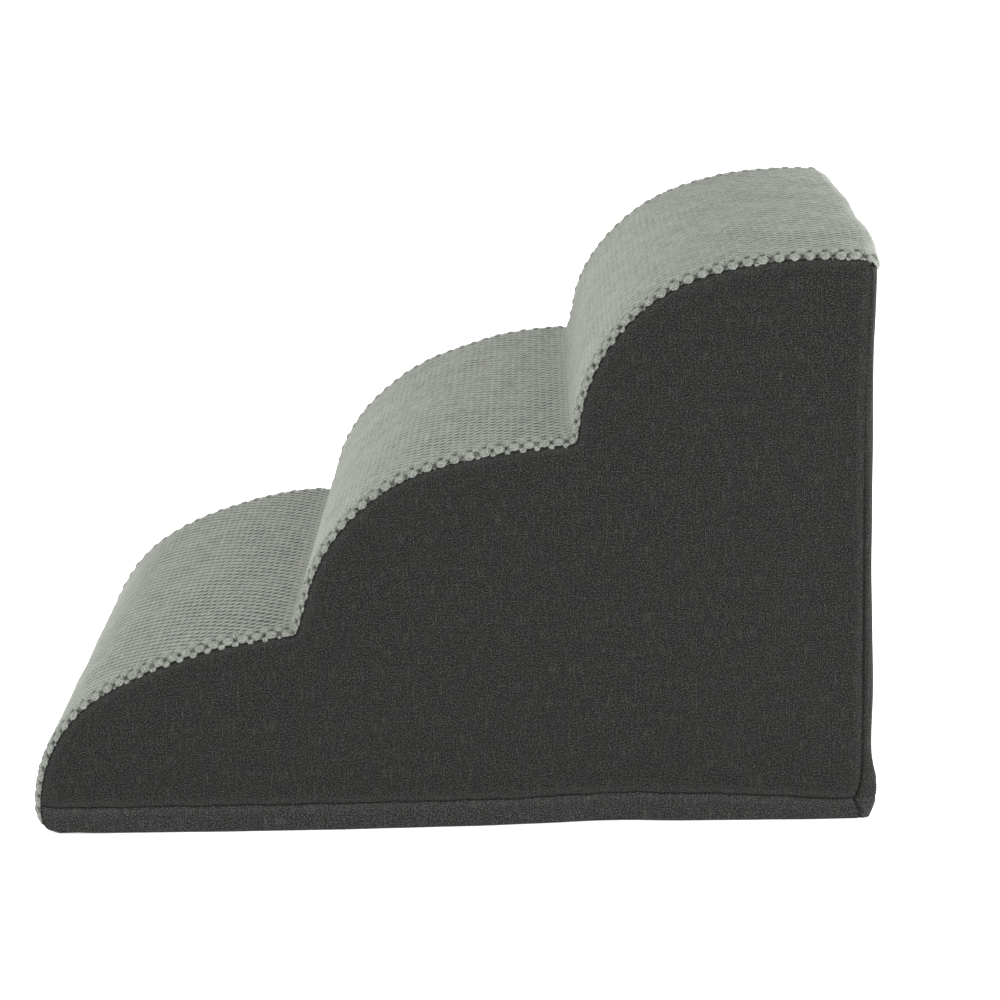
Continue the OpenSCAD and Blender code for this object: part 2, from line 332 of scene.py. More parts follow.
def new_object(name, vertices, faces, material, attributes=None, smooth=True):
    """A mesh object from arrays, with named attributes on its vertices."""
    mesh = bpy.data.meshes.new(name)
    mesh.from_pydata(np.asarray(vertices).tolist(), [], [tuple(int(i) for i in face) for face in faces])
    mesh.update()
    for key, values in (attributes or {}).items():
        values = np.asarray(values, np.float32)
        if values.ndim == 1:
            mesh.attributes.new(key, "FLOAT", "POINT").data.foreach_set("value", values)
        else:
            mesh.attributes.new(key, "FLOAT_VECTOR", "POINT").data.foreach_set("vector", values.ravel())
    mesh.polygons.foreach_set("use_smooth", [smooth] * len(mesh.polygons))
    mesh.materials.append(material)
    piece = bpy.data.objects.new(name, mesh)
    bpy.context.scene.collection.objects.link(piece)
    return piece


def grid_faces(rows, columns, flip=False):
    """Quads over a grid of vertices, numbered row by row."""
    index = np.arange(rows * columns).reshape(rows, columns)
    corners = [index[:-1, :-1], index[:-1, 1:], index[1:, 1:], index[1:, :-1]]
    if flip:
        corners.reverse()
    return np.stack([c.ravel() for c in corners], axis=1)


def grid_object(name, places, cloth, material, flip=False, **attributes):
    """A sheet of cloth from a grid of places, with its flat cloth coordinates for the weave."""
    rows, columns = places.shape[:2]
    cloth3 = np.concatenate([cloth, np.zeros(cloth.shape[:2] + (1,))], axis=2)
    values = {"cloth": cloth3.reshape(-1, 3)}
    values.update({key: array.ravel() for key, array in attributes.items()})
    return new_object(name, places.reshape(-1, 3), grid_faces(rows, columns, flip), material, values)


def grid_normals(places):
    across = np.gradient(places, axis=1)
    along = np.gradient(places, axis=0)
    return unit(np.cross(along, across))


def finish_piece(piece, body, slot, *nodes):
    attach(piece, body)
    if nodes:
        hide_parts(*nodes)
    return piece


def tubes(paths, radii, sides):
    """Vertices and faces of closed tubes, one along each path, with a radius at each of its points."""
    vertices = []
    faces = []
    turn = np.arange(sides) * 2 * math.pi / sides
    for path, radius in zip(paths, radii):
        start = len(vertices)
        ahead = unit(np.gradient(path, axis=0))
        reference = np.array([0.31, 0.22, 0.93])
        first = unit(np.cross(ahead, reference))
        second = np.cross(ahead, first)
        for p, a, b, r in zip(path, first, second, radius):
            ring = p + r * (np.cos(turn)[:, None] * a + np.sin(turn)[:, None] * b)
            vertices.extend(ring.tolist())
        for k in range(len(path) - 1):
            for j in range(sides):
                a = start + k * sides + j
                b = start + k * sides + (j + 1) % sides
                faces.append((a, b, b + sides, a + sides))
        faces.append(tuple(start + j for j in reversed(range(sides))))
        faces.append(tuple(start + (len(path) - 1) * sides + j for j in range(sides)))
    return vertices, faces


def stitches(name, path, material, length=2.6 * MM, gap=0.7 * MM, radius=0.38 * MM):
    """A row of sewn stitches along a path, each a small plump tube."""
    at = travelled(path)
    starts = np.arange(0.3 * MM, at[-1] - length, length + gap)
    shares = np.array([0, 0.14, 0.5, 0.86, 1])
    swell = np.array([0.45, 0.9, 1, 0.9, 0.45])
    paths = []
    for s in starts:
        spots = s + shares * length
        paths.append(np.stack([np.interp(spots, at, path[:, i]) for i in range(3)], axis=1))
    vertices, faces = tubes(paths, [swell * radius] * len(paths), 5)
    piece = bpy.data.meshes.new(name)
    piece.from_pydata(vertices, [], faces)
    piece.polygons.foreach_set("use_smooth", [True] * len(piece.polygons))
    piece.materials.append(material)
    row = bpy.data.objects.new(name, piece)
    bpy.context.scene.collection.objects.link(row)
    return row


# ---------------------------------------------------------------- material helpers

class Shader:
    """Builds the nodes of one material."""

    def __init__(self, name):
        self.material = bpy.data.materials.new(name)
        self.material.use_nodes = True
        self.tree = self.material.node_tree
        self.surface = self.tree.nodes["Principled BSDF"]

    def add(self, kind, values=None, **settings):
        node = self.tree.nodes.new(kind)
        for key, value in settings.items():
            setattr(node, key, value)
        for key, value in (values or {}).items():
            self.put(node.inputs[key], value)
        return node

    def put(self, socket, value):
        if isinstance(value, bpy.types.NodeSocket):
            self.tree.links.new(value, socket)
        else:
            socket.default_value = value

    def math(self, operation, a, b=0.0, clamp=False):
        node = self.add("ShaderNodeMath", {0: a, 1: b}, operation=operation, use_clamp=clamp)
        return node.outputs[0]

    def mix(self, share, a, b, blend="MIX"):
        node = self.add("ShaderNodeMix", data_type="RGBA", blend_type=blend)
        self.put(node.inputs[0], share)
        self.put(node.inputs[6], a)
        self.put(node.inputs[7], b)
        return node.outputs[2]

    def remap(self, value, low, high, to_low=0.0, to_high=1.0):
        values = {0: value, 1: low, 2: high, 3: to_low, 4: to_high}
        return self.add("ShaderNodeMapRange", values, clamp=True).outputs[0]

    def attribute(self, name, output="Fac"):
        return self.add("ShaderNodeAttribute", attribute_name=name).outputs[output]

    def place(self):
        return self.add("ShaderNodeTexCoord").outputs["Object"]

    def scaled(self, vector, scale):
        values = {0: vector, 1: scale}
        return self.add("ShaderNodeVectorMath", values, operation="MULTIPLY").outputs[0]

    def noise(self, vector, size, detail=2.0, roughness=0.5):
        """Noise from 0 to 1 whose blotches are about size metres across."""
        values = {"Vector": vector, "Scale": 1 / size, "Detail": detail, "Roughness": roughness}
        return self.add("ShaderNodeTexNoise", values).outputs["Fac"]

    def bump(self, height, distance, strength=1.0, under=None):
        values = {"Height": height, "Distance": distance, "Strength": strength}
        if under is not None:
            values["Normal"] = under
        return self.add("ShaderNodeBump", values).outputs["Normal"]

    def finish(self, color, roughness, normal=None, **numbers):
        self.put(self.surface.inputs["Base Color"], color)
        self.put(self.surface.inputs["Roughness"], roughness)
        if normal is not None:
            self.put(self.surface.inputs["Normal"], normal)
        for key, value in numbers.items():
            self.surface.inputs[key.replace("_", " ")].default_value = value
        return self.material


def shade(red, green, blue):
    """A colour given in display values from 0 to 255."""
    def linear(c):
        c = c / 255
        return c / 12.92 if c <= 0.04045 else ((c + 0.055) / 1.055) ** 2.4
    return (linear(red), linear(green), linear(blue), 1.0)


# ---------------------------------------------------------------- materials

def plush_material():
    """Pale grey knitted plush: soft fibrous bobbles, with painted shade in the gaps between them and on the
    full bobble rows along the rounded edges.
    """
    m = Shader("plush")
    place = m.place()
    pile = m.attribute("pile")
    fuzz = m.noise(place, 1.1 * MM, 3.0, 0.7)
    clumps = m.noise(place, 2.2 * MM, 2.0)
    patches = m.noise(place, 60 * MM, 2.0)
    knit = m.attribute("knit")
    bright = m.mix(patches, shade(128, 133, 125), shade(133, 136, 129))
    bright = m.mix(m.remap(clumps, 0.35, 0.65, 0.0, 0.25), bright, shade(146, 149, 141))
    # Painted shade: the full bobble rows along the rounded edges, where knit is 1, are darker.
    bright = m.mix(m.remap(knit, 0.0, 1.0, 0.0, 0.6), bright, shade(102, 106, 99))
    # Painted shade in the gaps between bobbles: near-black where the pile attribute is low, full colour on
    # the bobble tops.
    dark = m.mix(patches, shade(24, 24, 21), shade(32, 33, 29))
    color = m.mix(m.remap(pile, 0.1, 0.66), dark, bright)
    light_share = m.math("MULTIPLY", m.remap(fuzz, 0.5, 0.66), m.remap(knit, 0.0, 1.0, 0.2, 0.55))
    dark_share = m.math("MULTIPLY", m.remap(fuzz, 0.5, 0.34), m.remap(knit, 0.0, 1.0, 0.2, 0.75))
    color = m.mix(light_share, color, shade(162, 165, 157))
    color = m.mix(dark_share, color, shade(58, 60, 55))
    normal = m.bump(fuzz, 0.7 * MM, 0.9)
    return m.finish(color, 0.95, normal, Sheen_Weight=0.15, Sheen_Roughness=0.45, Specular_IOR_Level=0.15)


def woven_material(name, warm, cool, light, rib=1.45 * MM, pick=1.92 * MM):
    """Dark plain-woven upholstery cloth with upright ribs, slubs and a little warm and cool mottling;
    painted shade in the weave and down its seams, and a painted highlight where it rounds near seams and
    corners.
    """
    m = Shader(name)
    cloth = m.attribute("cloth", "Vector")
    parts = m.add("ShaderNodeSeparateXYZ", {0: cloth})
    drift = m.scaled(cloth, (1.0, 0.12, 1.0))
    wander = m.math("MULTIPLY", m.noise(drift, 9 * MM), 0.7 * MM)
    across = m.math("ADD", parts.outputs[0], wander)
    warp = m.math("SINE", m.math("MULTIPLY", across, math.pi / rib))
    weft = m.math("SINE", m.math("MULTIPLY", parts.outputs[1], math.pi / pick))
    over = m.math("MULTIPLY", warp, weft)
    ribs = m.math("MULTIPLY", m.math("ABSOLUTE", warp), 0.6)
    picks = m.math("MULTIPLY", m.math("ABSOLUTE", weft), 0.5)
    height = m.math("ADD", m.math("MULTIPLY", over, 0.25), m.math("ADD", ribs, picks))
    grain = m.noise(cloth, 1.0 * MM, 2.0, 0.8)
    slub_up = m.noise(m.scaled(cloth, (1.0, 0.12, 1.0)), 1.5 * MM, 2.0)
    slub_over = m.noise(m.scaled(cloth, (0.1, 1.0, 1.0)), 1.5 * MM, 2.0)
    blotch = m.noise(cloth, 14 * MM, 3.0, 0.6)
    color = m.mix(m.remap(blotch, 0.38, 0.62), warm, cool)
    shadow = m.remap(height, 0.1, 0.9, 0.9, 0.0)
    color = m.mix(shadow, color, shade(11, 11, 10))
    color = m.mix(m.remap(grain, 0.5, 0.68, 0.0, 1.0), color, light)
    color = m.mix(m.remap(grain, 0.5, 0.32, 0.0, 0.9), color, shade(9, 9, 8))
    slubs = m.math("ADD", m.remap(slub_up, 0.55, 0.8, 0.0, 0.4), m.remap(slub_over, 0.58, 0.8, 0.0, 0.25))
    color = m.mix(slubs, color, light)
    # Painted highlight: lighter where the cloth rounds in to a seam or round a back corner (edge
    # attribute).
    color = m.mix(m.remap(m.attribute("edge"), 0.0, 1.0, 0.0, 0.06), color, shade(90, 90, 88))
    # Painted shade: a near-black line down in the seam valleys.
    color = m.mix(m.remap(m.attribute("groove"), 0.2, 1.0, 0.0, 0.95), color, shade(5, 5, 5))
    normal = m.bump(height, 0.3 * MM, 0.8)
    normal = m.bump(grain, 0.35 * MM, 0.7, normal)
    return m.finish(color, 0.95, normal, Sheen_Weight=0.04, Sheen_Roughness=0.5, Specular_IOR_Level=0.1)


def thread_material():
    """Dark grey sewing thread with a fine twist."""
    m = Shader("thread")
    place = m.place()
    twist = m.noise(m.scaled(place, (1.0, 1.0, 3.0)), 0.5 * MM, 2.0)
    color = m.mix(twist, shade(16, 16, 15), shade(34, 34, 33))
    return m.finish(color, 0.8, m.bump(twist, 0.1 * MM, 0.6), Specular_IOR_Level=0.2)


def foam_material():
    """Pale cream open-cell foam."""
    m = Shader("foam")
    place = m.place()
    cells = m.add("ShaderNodeTexVoronoi", {"Vector": place, "Scale": 1 / (1.6 * MM)}).outputs["Distance"]
    tone = m.noise(place, 40 * MM)
    color = m.mix(tone, shade(226, 218, 196), shade(238, 231, 212))
    color = m.mix(m.remap(cells, 0.5, 0.1, 0.0, 0.3), color, shade(190, 180, 154))
    return m.finish(color, 0.95, m.bump(cells, 0.4 * MM, 0.7))


def bottom_material():
    """Near-black felted base cloth."""
    m = Shader("bottom_cloth")
    place = m.place()
    felt = m.noise(m.scaled(place, (1.0, 2.5, 1.0)), 0.9 * MM, 4.0, 0.7)
    color = m.mix(felt, shade(22, 22, 22), shade(48, 48, 47))
    return m.finish(color, 0.9, m.bump(felt, 0.3 * MM, 0.6), Specular_IOR_Level=0.2)


def grip_material():
    """Soft black rubbery print of the grip dots."""
    m = Shader("grip_dots")
    wear = m.noise(m.place(), 4 * MM, 3.0)
    color = m.mix(wear, shade(26, 26, 27), shade(40, 40, 41))
    return m.finish(color, m.remap(wear, 0.3, 0.7, 0.45, 0.6), m.bump(wear, 0.05 * MM, 0.4))


def nylon_material(name, dark, light, scale):
    """Black zip nylon, with a fine grain along its yarns."""
    m = Shader(name)
    place = m.place()
    values = {"Vector": place, "Scale": scale, "Distortion": 1.5}
    yarn = m.add("ShaderNodeTexWave", values, bands_direction="Y")
    grain = m.noise(place, 0.6 * MM, 3.0)
    tone = m.math("MULTIPLY", yarn.outputs["Fac"], grain)
    color = m.mix(tone, dark, light)
    return m.finish(color, 0.6, m.bump(tone, 0.1 * MM, 0.6), Specular_IOR_Level=0.35)


def metal_material():
    """Slider metal, dark nickel plated and lightly brushed, duller where it is handled."""
    m = Shader("zip_metal")
    place = m.place()
    brushed = m.noise(m.scaled(place, (1.0, 0.08, 1.0)), 0.35 * MM, 3.0)
    wear = m.noise(place, 2.5 * MM, 3.0)
    color = m.mix(wear, shade(96, 96, 98), shade(128, 128, 130))
    roughness = m.math("ADD", m.remap(wear, 0.3, 0.7, 0.22, 0.38), m.math("MULTIPLY", brushed, 0.1))
    return m.finish(color, roughness, m.bump(brushed, 0.03 * MM, 0.5), Metallic=1.0)


PLUSH = plush_material()
SIDE_CLOTH = woven_material("side_cloth", shade(27, 27, 22), shade(25, 25, 29), shade(67, 67, 63))
BAND_CLOTH = woven_material("band_cloth", shade(33, 33, 31), shade(32, 33, 35), shade(81, 81, 79))
THREAD = thread_material()
FOAM = foam_material()
BOTTOM = bottom_material()
GRIP = grip_material()
TAPE = nylon_material("zip_tape", shade(17, 17, 18), shade(52, 52, 53), 900)
COIL = nylon_material("zip_coil", shade(20, 20, 21), shade(60, 60, 62), 500)
METAL = metal_material()


# ---------------------------------------------------------------- plush top panel

BOBBLE_PITCH = 10.5 * MM    # between bobbles in a row, along the ramp
ROW_PITCH = 4.27 * MM       # between rows, across the ramp
FLAT_LIFT = 3.4 * MM        # height of the knit under its bobbles, above the seam line
EDGE_ROUND_Y = 10 * MM      # how far the rounded edge reaches in from the side
EDGE_ROUND_Z = 8.9 * MM     # height of that rounding, if it went down to a flat side
TUCK = 3.6 * MM             # how far the plush goes down behind the side cloth at its seam
FIRST_ROW = 2.6 * MM        # middle of the first row of bobbles, up from the lip
OVERHANG = 1.5 * MM         # how far that row hangs over the side cloth on the treads
PLUSH_RISE = 5.5 * MM       # how much sooner the plush ends at the two back corners
LOWEST_PILE = 0.2 * MM      # height that the bobbles keep above the floor
CORNER_SOFTNESS = (0.45, 0.75)  # how much the plush opens out each inward corner between its sides


def plush_section():
    """Half of the plush panel's cross-section: distance from the middle and lift above the seam line."""
    low = math.asin((EDGE_ROUND_Z - FLAT_LIFT - 0.4 * MM) / EDGE_ROUND_Z)
    turn = np.linspace(low, math.pi / 2, 24)
    y = HALF_WIDTH - EDGE_ROUND_Y + EDGE_ROUND_Y * np.cos(turn)
    lift = FLAT_LIFT - EDGE_ROUND_Z + EDGE_ROUND_Z * np.sin(turn)
    tuck = [[y[0] - 0.8 * MM, lift[0] - TUCK]]
    return np.concatenate([tuck, np.stack([y, lift], axis=1), [[0, FLAT_LIFT]]])


def plush_columns():
    """Distances across the cloth from the right seam, finer along the two rounded edges."""
    half = plush_section()
    full = travelled(half)[-1]
    edge = np.arange(0, 17 * MM, ROW_PITCH / 6)
    middle = np.linspace(edge[-1], full, int((full - edge[-1]) / (ROW_PITCH / 4)) + 1)[1:]
    right = np.concatenate([edge, middle])
    return np.concatenate([right, 2 * full - right[-2::-1]]), full


def bobble_height(s, w, fullness):
    """Height of the knit's bobbles, from 0 to 1: rows along the ramp, every other row shifted by half."""
    best = np.zeros(np.shape(s))
    half_long = (4.7 - 0.45 * fullness) * MM
    half_wide = (2.3 + 1.0 * fullness) * MM
    row0 = np.floor(w / ROW_PITCH)
    for row in (row0, row0 + 1):
        shift = 0.5 * np.mod(row, 2)
        cell = np.round(s / BOBBLE_PITCH - shift)
        nudge = 0.7 * MM * (chance(cell, row, 1) - 0.5)
        sideways = 0.3 * MM * (chance(cell, row, 2) - 0.5)
        du = (s - (cell + shift) * BOBBLE_PITCH - nudge) / half_long
        dv = (w - row * ROW_PITCH - sideways) / half_wide
        dome = np.clip(1 - du * du - dv * dv, 0, 1) ** 0.55
        best = np.maximum(best, dome * (0.92 + 0.16 * chance(cell, row, 3)))
    return best


def plush_line(s, y):
    """Places (x, z) and outward directions under the plush, opened out in the inward corners."""
    inner = smoothstep(HALF_WIDTH - 6 * MM, HALF_WIDTH - 50 * MM, np.abs(y))
    open_out = np.max([amount * smoothstep(48 * MM, 22 * MM, np.abs(s - c))
                       for c, amount in zip(outline.corner_at, CORNER_SOFTNESS)], axis=0)
    return outline.softened(s, inner * open_out)


def plush_knit(s, y, lift, place, outward, foot, hem):
    """The surface of the knit under its bobbles, thin at the foot and tucked in at the back hem."""
    lift = lift * (0.15 + 0.85 * foot) * hem - 0.8 * MM * (1 - hem)
    lift = lift + far_lift(s, y) + 0.35 * MM * ripple(s, y, 0.07, 5)
    place = place + outward * lift[..., None]
    back = smoothstep(outline.length - 95 * MM, outline.length - 12 * MM, s)
    shift_x = back_swell(y) * back
    shift_z = 2.0 * MM * (1 - (np.abs(y) / HALF_WIDTH) ** 4) * back
    return np.stack([place[..., 0] + shift_x, y, place[..., 1] + shift_z], axis=-1)


def raise_bobbles(surface, rise, hang, side, outward):
    """Pushes the knit out into bobbles, and hangs the first row over the side cloth."""
    normal = grid_normals(surface)
    if normal[len(normal) // 2, normal.shape[1] // 2, 2] < 0:
        normal = -normal
    surface = surface + normal * rise[..., None]
    surface[..., 1] += 0.6 * hang * side
    surface[..., 0] -= 0.8 * hang * outward[..., 0]
    surface[..., 2] -= 0.8 * hang * outward[..., 1]
    surface[..., 2] = np.maximum(surface[..., 2], LOWEST_PILE)
    return surface


def top_panel():
    """The plush cloth, one piece over all three steps from the front foot to the top back edge."""
    columns, full = plush_columns()
    half = plush_section()
    half_at = travelled(half)
    reach = np.minimum(columns, 2 * full - columns)
    side = np.where(columns < full, -1.0, 1.0)
    s, y = np.meshgrid(outline.along, side * np.interp(reach, half_at, half[:, 0]), indexing="ij")
    from_end = outline.along[-1] - s
    to_end = smoothstep(outline.length - 30 * MM, outline.length, s)
    s = s - PLUSH_RISE * smoothstep(0.184, 0.199, np.abs(y)) * to_end
    lift = np.broadcast_to(np.interp(reach, half_at, half[:, 1]), s.shape)
    above_lip = np.broadcast_to(reach - half_at[1], s.shape)

    place, outward = plush_line(s, y)
    foot = smoothstep(FOOT_GAP, 17 * MM, place[..., 1]) ** 0.7
    hem = smoothstep(-0.6 * MM, 3.0 * MM, from_end)
    surface = plush_knit(s, y, lift, place, outward, foot, hem)

    near_corner = np.min([np.abs(s - c) for c in outline.corner_at], axis=0)
    fullness = 1 - smoothstep(8.5 * MM, 12.5 * MM, above_lip)
    drift = 0.6 * MM * np.sin(2 * np.pi * s / 0.34 + 0.6) + 0.3 * MM * np.sin(2 * np.pi * s / 0.11)
    pile = bobble_height(s, columns[None, :] - half_at[1] - FIRST_ROW + drift, fullness)
    pulled = 0.35 + 0.65 * smoothstep(2 * MM, 8 * MM, near_corner)
    thin = pulled * (0.4 + 0.6 * foot) * (0.3 + 0.7 * hem) * (0.5 + 0.5 * smoothstep(0, 16 * MM, from_end))
    under = 0.1 + 0.9 * smoothstep(-1.8 * MM, 1.8 * MM, above_lip)
    rise = pile * (1.6 + 1.0 * fullness) * MM * thin * under
    hang = OVERHANG * pile * thin * outward[..., 1].clip(0.15, 1)
    hang = hang * smoothstep(3.4 * MM, 0.6 * MM, above_lip) * smoothstep(-2.4 * MM, -0.4 * MM, above_lip)
    surface = raise_bobbles(surface, rise, hang, side, outward)

    # Painted shade mask for the plush: 1 on bobble tops and 0 in the gaps, evened towards mid-grey in the
    # field near the inward corners and the back hem. knit also marks the edge rows, which the material
    # darkens as painted shade.
    unshaded_share = pile ** (1.6 - 0.6 * fullness)
    near_edge = np.maximum(0.4 * smoothstep(14 * MM, 4 * MM, near_corner),
                           0.6 * smoothstep(14 * MM, 2 * MM, from_end))
    unshaded_share = unshaded_share + (0.65 - unshaded_share) * (1 - fullness) * near_edge
    cloth = np.stack([s, np.broadcast_to(columns, s.shape)], axis=-1)
    piece = grid_object("top_panel_plush", surface, cloth, PLUSH, pile=unshaded_share, knit=fullness)
    finish_piece(piece, COVER, "plush", "top_panel")


# ---------------------------------------------------------------- woven side panels

SEAM_Y = HALF_WIDTH - 1.0 * MM      # depth of the seam valleys in the side faces
FACE_Y = HALF_WIDTH + 0.3 * MM      # face of the cloth away from its seams
ROLL = 4.5 * MM                     # how far from a seam the cloth takes to come up to its face
FLOOR_ROLL = 5 * MM                 # height over which the cloth rolls in to the floor
FLOOR_DROP = 2.6 * MM               # how far it rolls in


def panel_boundary(side, step=2.5 * MM):
    """Closed edge line (x, z) of a side panel, going over the steps, down the back and along the band."""
    s = np.arange(0, outline.length, step)
    over = seam_line(s, side)
    keep = (over[:, 1] > band_seam_z(over[:, 0])) & (over[:, 0] < corner_seam_x(over[:, 1]))
    over = over[keep]
    z = np.linspace(over[-1, 1] - 0.5 * step, CORNER_SEAM_Z, int((over[-1, 1] - CORNER_SEAM_Z) / step))
    down = np.stack([corner_seam_x(z), z], axis=1)
    x = np.linspace(down[-1, 0] - step, over[0, 0] + 0.5 * step, int((down[-1, 0] - over[0, 0]) / step))
    under = np.stack([x, band_seam_z(x)], axis=1)
    return np.concatenate([over, down, under])


def distance_to_line(points, line):
    """Distance of each point from a closed line."""
    a = line
    d = np.roll(line, -1, axis=0) - line
    best = np.full(len(points), np.inf)
    for start in range(0, len(a), 40):
        p = points[:, None] - a[None, start:start + 40]
        dd = d[None, start:start + 40]
        t = np.clip((p * dd).sum(2) / (dd * dd).sum(2), 0, 1)
        best = np.minimum(best, np.sqrt(((p - t[..., None] * dd) ** 2).sum(2)).min(1))
    return best


def inside_line(points, line):
    """Whether each point lies inside a closed line."""
    inside = np.zeros(len(points), bool)
    for a, b in zip(line, np.roll(line, -1, axis=0)):
        crosses = (a[1] > points[:, 1]) != (b[1] > points[:, 1])
        slope = (b[0] - a[0]) / (b[1] - a[1] if b[1] != a[1] else 1)
        inside ^= crosses & (points[:, 0] < a[0] + slope * (points[:, 1] - a[1]))
    return inside


def panel_points(boundary):
    """Points inside a panel: rings that follow the edge, then an even field."""
    ahead = unit(np.roll(boundary, -1, axis=0) - np.roll(boundary, 1, axis=0))
    inward = np.stack([ahead[:, 1], -ahead[:, 0]], axis=1)
    rings = []
    for depth in (0.6, 1.3, 2.2, 3.4, 5.0, 7.0, 9.5):
        ring = boundary + inward * depth * MM
        kept = np.abs(distance_to_line(ring, boundary) - depth * MM) < 0.08 * depth * MM
        rings.append(ring[kept])
    low = boundary.min(axis=0)
    high = boundary.max(axis=0)
    spacing = 5 * MM
    x, z = np.meshgrid(np.arange(low[0], high[0], spacing), np.arange(low[1], high[1], spacing * 0.866))
    x = x + 0.5 * spacing * (np.arange(len(x)) % 2)[:, None]
    field = np.stack([x.ravel(), z.ravel()], axis=1)
    deep = (distance_to_line(field, boundary) > 12 * MM) & inside_line(field, boundary)
    return np.concatenate(rings + [field[deep]])


def side_panel(side, name, node):
    """One woven side, pinched along its seams and slightly full in the middle."""
    boundary = panel_boundary(side)
    inner = panel_points(boundary)
    inner = inner[inside_line(inner, boundary)]
    flat = np.concatenate([boundary, inner])
    count = len(boundary)
    edges = [(i, (i + 1) % count) for i in range(count)]
    result = delaunay_2d_cdt([Vector(p) for p in (flat / MM).tolist()], edges, [], 1, 1e-4)
    points = np.array([tuple(v) for v in result[0]]) * MM
    faces = [tuple(reversed(f)) if side > 0 else tuple(f) for f in result[2]]
    x, z = points.T
    seam_z = band_seam_z(x)
    from_corner = corner_seam_x(z) - x
    depth = distance_to_line(points, boundary)
    edge = 1 - np.clip(depth / ROLL, 0, 1)
    flattened = corner_fade(z) * smoothstep(14 * MM, 8 * MM, from_corner)
    drop = (FACE_Y - SEAM_Y) * quarter_round(edge) * (1 - 0.85 * flattened)
    puff = 1.0 * MM * smoothstep(0, 90 * MM, depth)
    puff = puff + 0.35 * MM * ripple(x, z, 0.09, 7 + side) * smoothstep(0, 30 * MM, depth)
    pucker = 0.18 * MM * np.sin(x / (1.3 * MM)) * bell(z, seam_z + 3 * MM, 2.5 * MM)
    y = FACE_Y - drop + puff + side_bow(x, z) + pucker
    places = np.stack([x, side * y, z], axis=1)
    cloth = np.stack([x, z, np.zeros(len(points))], axis=1)
    # Painted shade and highlight for the side cloth: a dark line along every seam, wider under the plush
    # and fainter where the corner seam pulls flat; edge is a lighter band about 3 mm in from the seams, a
    # painted highlight.
    under_plush = smoothstep(4 * MM, 8 * MM, z - seam_z) * smoothstep(4 * MM, 8 * MM, from_corner)
    groove = (1 - smoothstep(0, (1.1 + 0.9 * under_plush) * MM, depth)) * (1 - 0.9 * flattened)
    values = {"cloth": cloth, "edge": bell(depth, 3 * MM, 2.6 * MM), "groove": groove}
    piece = new_object(name, places, faces, SIDE_CLOTH, values)
    finish_piece(piece, COVER, "side_cloth", node)
    x, z = boundary.T


# ---------------------------------------------------------------- base band on the sides

def front_x(z):
    """Front edge of the side faces at a height, from the rounded foot up."""
    foot = outline.places[:60]
    return np.interp(z, foot[:, 1], foot[:, 0])


HEM = 1.05              # height of the band's turned-in hem, as a share of the band
HEM_DEPTH = 1.3 * MM    # how far a turned-in hem lies behind the piece above it
UNDER = -0.01           # height of the band's lower hem, as a share of the band
UNDER_DEPTH = 5.5 * MM    # how far that hem is turned under, to the base cloth


def side_band(side, name, node):
    """The band along the foot of one side, hemmed behind the panel above and under the foam below."""
    columns = 240
    share = np.array([UNDER, 0, 0.03, 0.07, 0.13, 0.22, 0.34, 0.48, 0.62, 0.75, 0.85, 0.92, 0.97, 1.0, HEM])
    across = np.linspace(0, 1, columns)
    rows = []
    for t in share:
        z = t * 20 * MM
        for _ in range(6):
            x = front_x(z) + (corner_seam_x(np.asarray(z)) - front_x(z)) * across
            lift = FOOT_GAP + 2.3 * MM * np.exp(-(x - FRONT - 14 * MM) / (16 * MM)) * (x > FRONT + 1 * MM)
            lift = np.minimum(lift, 4 * MM)
            z = lift + (band_seam_z(x) - lift) * t
        rows.append(np.stack([x, z], axis=1))
    flat = np.array(rows)
    x, z = flat[..., 0].copy(), flat[..., 1].copy()
    depth_top = band_seam_z(x) - z
    depth_ends = np.minimum(x - front_x(z), corner_seam_x(z) - x)
    top = 1 - np.clip(depth_top / (4.5 * MM), 0, 1)
    ends = 1 - np.clip(depth_ends / (5 * MM), 0, 1)
    floor = 1 - np.clip(z / FLOOR_ROLL, 0, 1)
    drop = (FACE_Y - SEAM_Y) * quarter_round(np.maximum(top, ends))
    drop = drop + FLOOR_DROP * quarter_round(floor)
    pucker = 0.2 * MM * np.sin(x / (1.5 * MM)) * top + 0.25 * MM * ripple(x, z, 0.05, 11 + side)
    y = FACE_Y + 0.2 * MM - drop + side_bow(x, z) + pucker * (1 - ends)
    y[share > 1] -= HEM_DEPTH
    y[share < 0] -= UNDER_DEPTH
    flat[share < 0, :, 1] -= UNDER_DEPTH
    places = np.stack([x, side * y, z], axis=-1)
    # Painted shade along the band's top seam and its two ends; edge is a painted highlight about 3 mm under
    # the top seam.
    groove = 1 - smoothstep(0, 1.1 * MM, np.minimum(depth_top, np.maximum(depth_ends, 0)))
    piece = grid_object(name, places, flat, BAND_CLOTH, flip=side > 0,
                        edge=bell(depth_top, 3 * MM, 2.2 * MM), groove=groove)
    finish_piece(piece, COVER, "band_cloth", node)
    return piece


# ---------------------------------------------------------------- back panel and back band

CORNER_Y = HALF_WIDTH - 7 * MM      # where the rounded back corners run into the flat back
TOP_CORNER_RISE = 5.5 * MM          # how much higher the top back seam runs at the two corners
PULL_BACK = BACK + 2.2 * MM         # how far back the cloth may come where the zip pull swings over it


def back_columns():
    """Signed positions across the back, -1 to 1 over the flat and beyond it round the corners."""
    flat = np.linspace(-1, 1, 91)
    bend = np.linspace(0, 1, 11)[1:]
    return np.concatenate([-1 - bend[::-1], flat, 1 + bend])


